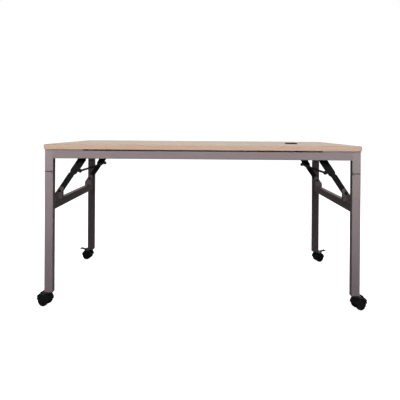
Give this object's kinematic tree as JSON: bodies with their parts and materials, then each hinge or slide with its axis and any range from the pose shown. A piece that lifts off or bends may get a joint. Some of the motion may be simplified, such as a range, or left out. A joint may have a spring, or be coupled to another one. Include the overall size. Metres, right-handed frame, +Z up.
{
  "type": "folding office desk",
  "caption": "Rectangular wood-grain desk on a painted tube frame whose end leg frames fold inward on hinged stays, standing on braked swivel casters, with a cable grommet in the top.",
  "frame": {"origin": "on the floor under the middle of the top", "axes": "+Z up, +X along the long side to the right, front at -Y"},
  "size_m": [1.4948, 0.6362, 0.725],
  "materials": {
    "board": "satin wood-grain laminate",
    "edge_band": "satin wood-grain edge strip",
    "grommet_plastic": "fine matte texture",
    "plug_plastic": "matte",
    "frame_paint": "satin powder coat",
    "black_steel": "satin black powder coat",
    "plated_steel": "zinc plated",
    "caster_nylon": "moulded satin",
    "caster_tread": "matte"
  },
  "bodies": {
    "frame": {"corner_post_front_left": "frame_paint", "corner_post_front_right": "frame_paint", "corner_post_rear_left": "frame_paint", "corner_post_rear_right": "frame_paint", "desktop": "board", "edge_band": "edge_band", "fixing_plates": "frame_paint", "front_rail": "frame_paint", "grommet_sleeve": "grommet_plastic", "hinge_pins": "black_steel", "hinge_upper_leaves": "frame_paint", "left_end_rail": "frame_paint", "post_plugs": "plug_plastic", "rear_rail": "frame_paint", "right_end_rail": "frame_paint", "stay_top_brackets": "black_steel", "stay_top_pins": "black_steel", "top_screws": "plated_steel"},
    "grommet_cap": {"grommet_cap": "grommet_plastic"},
    "left_leg": {"left_front_leg": "frame_paint", "left_rear_leg": "frame_paint", "left_crossbar": "frame_paint", "left_leg_plugs": "plug_plastic", "left_hinge_leaves": "frame_paint", "left_stay_feet": "frame_paint", "left_stay_foot_pins": "black_steel", "left_caster_stems": "plated_steel"},
    "left_upper_stay": {"left_upper_stays": "black_steel", "left_release_rod": "black_steel", "left_knee_rivets": "black_steel"},
    "left_lower_stay": {"left_lower_stays": "black_steel"},
    "right_leg": {"right_front_leg": "frame_paint", "right_rear_leg": "frame_paint", "right_crossbar": "frame_paint", "right_leg_plugs": "plug_plastic", "right_hinge_leaves": "frame_paint", "right_stay_feet": "frame_paint", "right_stay_foot_pins": "black_steel", "right_caster_stems": "plated_steel"},
    "right_upper_stay": {"right_upper_stays": "black_steel", "right_release_rod": "black_steel", "right_knee_rivets": "black_steel"},
    "right_lower_stay": {"right_lower_stays": "black_steel"},
    "caster_front_left": {"caster_hood_front_left": "caster_nylon"},
    "wheels_front_left": {"caster_wheels_front_left": "caster_tread", "caster_axle_front_left": "plated_steel"},
    "brake_front_left": {"caster_brake_front_left": "caster_nylon"},
    "caster_rear_left": {"caster_hood_rear_left": "caster_nylon"},
    "wheels_rear_left": {"caster_wheels_rear_left": "caster_tread", "caster_axle_rear_left": "plated_steel"},
    "brake_rear_left": {"caster_brake_rear_left": "caster_nylon"},
    "caster_front_right": {"caster_hood_front_right": "caster_nylon"},
    "wheels_front_right": {"caster_wheels_front_right": "caster_tread", "caster_axle_front_right": "plated_steel"},
    "brake_front_right": {"caster_brake_front_right": "caster_nylon"},
    "caster_rear_right": {"caster_hood_rear_right": "caster_nylon"},
    "wheels_rear_right": {"caster_wheels_rear_right": "caster_tread", "caster_axle_rear_right": "plated_steel"},
    "brake_rear_right": {"caster_brake_rear_right": "caster_nylon"}
  },
  "joints": [
    {"name": "grommet_cap_turn", "type": "hinge", "parent": "frame", "child": "grommet_cap", "pos_m": [0.445, -0.068, 0.7236], "axis": [0, 0, 1], "continuous": true},
    {"name": "left_fold", "type": "hinge", "parent": "frame", "child": "left_leg", "pos_m": [-0.663, 0, 0.599], "axis": [0, -1, 0], "range_deg": [0, 90]},
    {"name": "left_upper_stay_turn", "type": "hinge", "parent": "frame", "child": "left_upper_stay", "pos_m": [-0.552, 0, 0.665], "axis": [0, -1, 0], "range_deg": [0, 109.5]},
    {"name": "left_lower_stay_turn", "type": "hinge", "parent": "left_leg", "child": "left_lower_stay", "pos_m": [-0.662, 0, 0.5], "axis": [0, -1, 0], "range_deg": [-123.1, 0]},
    {"name": "right_fold", "type": "hinge", "parent": "frame", "child": "right_leg", "pos_m": [0.663, 0, 0.599], "axis": [0, 1, 0], "range_deg": [0, 90]},
    {"name": "right_upper_stay_turn", "type": "hinge", "parent": "frame", "child": "right_upper_stay", "pos_m": [0.552, 0, 0.665], "axis": [0, 1, 0], "range_deg": [0, 109.5]},
    {"name": "right_lower_stay_turn", "type": "hinge", "parent": "right_leg", "child": "right_lower_stay", "pos_m": [0.662, 0, 0.5], "axis": [0, 1, 0], "range_deg": [-123.1, 0]},
    {"name": "swivel_front_left", "type": "hinge", "parent": "left_leg", "child": "caster_front_left", "pos_m": [-0.677, -0.2885, 0.057], "axis": [0, 0, 1], "continuous": true},
    {"name": "roll_front_left", "type": "hinge", "parent": "caster_front_left", "child": "wheels_front_left", "pos_m": [-0.69804, -0.28207, 0.025], "axis": [-0.2924, -0.9563, 0], "continuous": true},
    {"name": "brake_front_left", "type": "hinge", "parent": "caster_front_left", "child": "brake_front_left", "pos_m": [-0.70951, -0.27856, 0.057], "axis": [-0.2924, -0.9563, 0], "range_deg": [-46, 0]},
    {"name": "swivel_rear_left", "type": "hinge", "parent": "left_leg", "child": "caster_rear_left", "pos_m": [-0.677, 0.2885, 0.057], "axis": [0, 0, 1], "continuous": true},
    {"name": "roll_rear_left", "type": "hinge", "parent": "caster_rear_left", "child": "wheels_rear_left", "pos_m": [-0.69867, 0.29232, 0.025], "axis": [-0.1736, -0.9848, 0], "continuous": true},
    {"name": "brake_rear_left", "type": "hinge", "parent": "caster_rear_left", "child": "brake_rear_left", "pos_m": [-0.71048, 0.2944, 0.057], "axis": [-0.1736, -0.9848, 0], "range_deg": [0, 46]},
    {"name": "swivel_front_right", "type": "hinge", "parent": "right_leg", "child": "caster_front_right", "pos_m": [0.677, -0.2885, 0.057], "axis": [0, 0, 1], "continuous": true},
    {"name": "roll_front_right", "type": "hinge", "parent": "caster_front_right", "child": "wheels_front_right", "pos_m": [0.69767, -0.28098, 0.025], "axis": [-0.342, 0.9397, 0], "continuous": true},
    {"name": "brake_front_right", "type": "hinge", "parent": "caster_front_right", "child": "brake_front_right", "pos_m": [0.70895, -0.27687, 0.057], "axis": [-0.342, 0.9397, 0], "range_deg": [-46, 0]},
    {"name": "swivel_rear_right", "type": "hinge", "parent": "right_leg", "child": "caster_rear_right", "pos_m": [0.677, 0.2885, 0.057], "axis": [0, 0, 1], "continuous": true},
    {"name": "roll_rear_right", "type": "hinge", "parent": "caster_rear_right", "child": "wheels_rear_right", "pos_m": [0.69792, 0.2953, 0.025], "axis": [-0.309, 0.9511, 0], "continuous": true},
    {"name": "brake_rear_right", "type": "hinge", "parent": "caster_rear_right", "child": "brake_rear_right", "pos_m": [0.70934, 0.29901, 0.057], "axis": [-0.309, 0.9511, 0], "range_deg": [0, 46]}
  ],
  "couplings": [
    {"joint": "left_upper_stay_turn", "follows": "left_fold", "ratio": 1.2157},
    {"joint": "left_lower_stay_turn", "follows": "left_fold", "ratio": -1.3669},
    {"joint": "right_upper_stay_turn", "follows": "right_fold", "ratio": 1.2157},
    {"joint": "right_lower_stay_turn", "follows": "right_fold", "ratio": -1.3669}
  ]
}
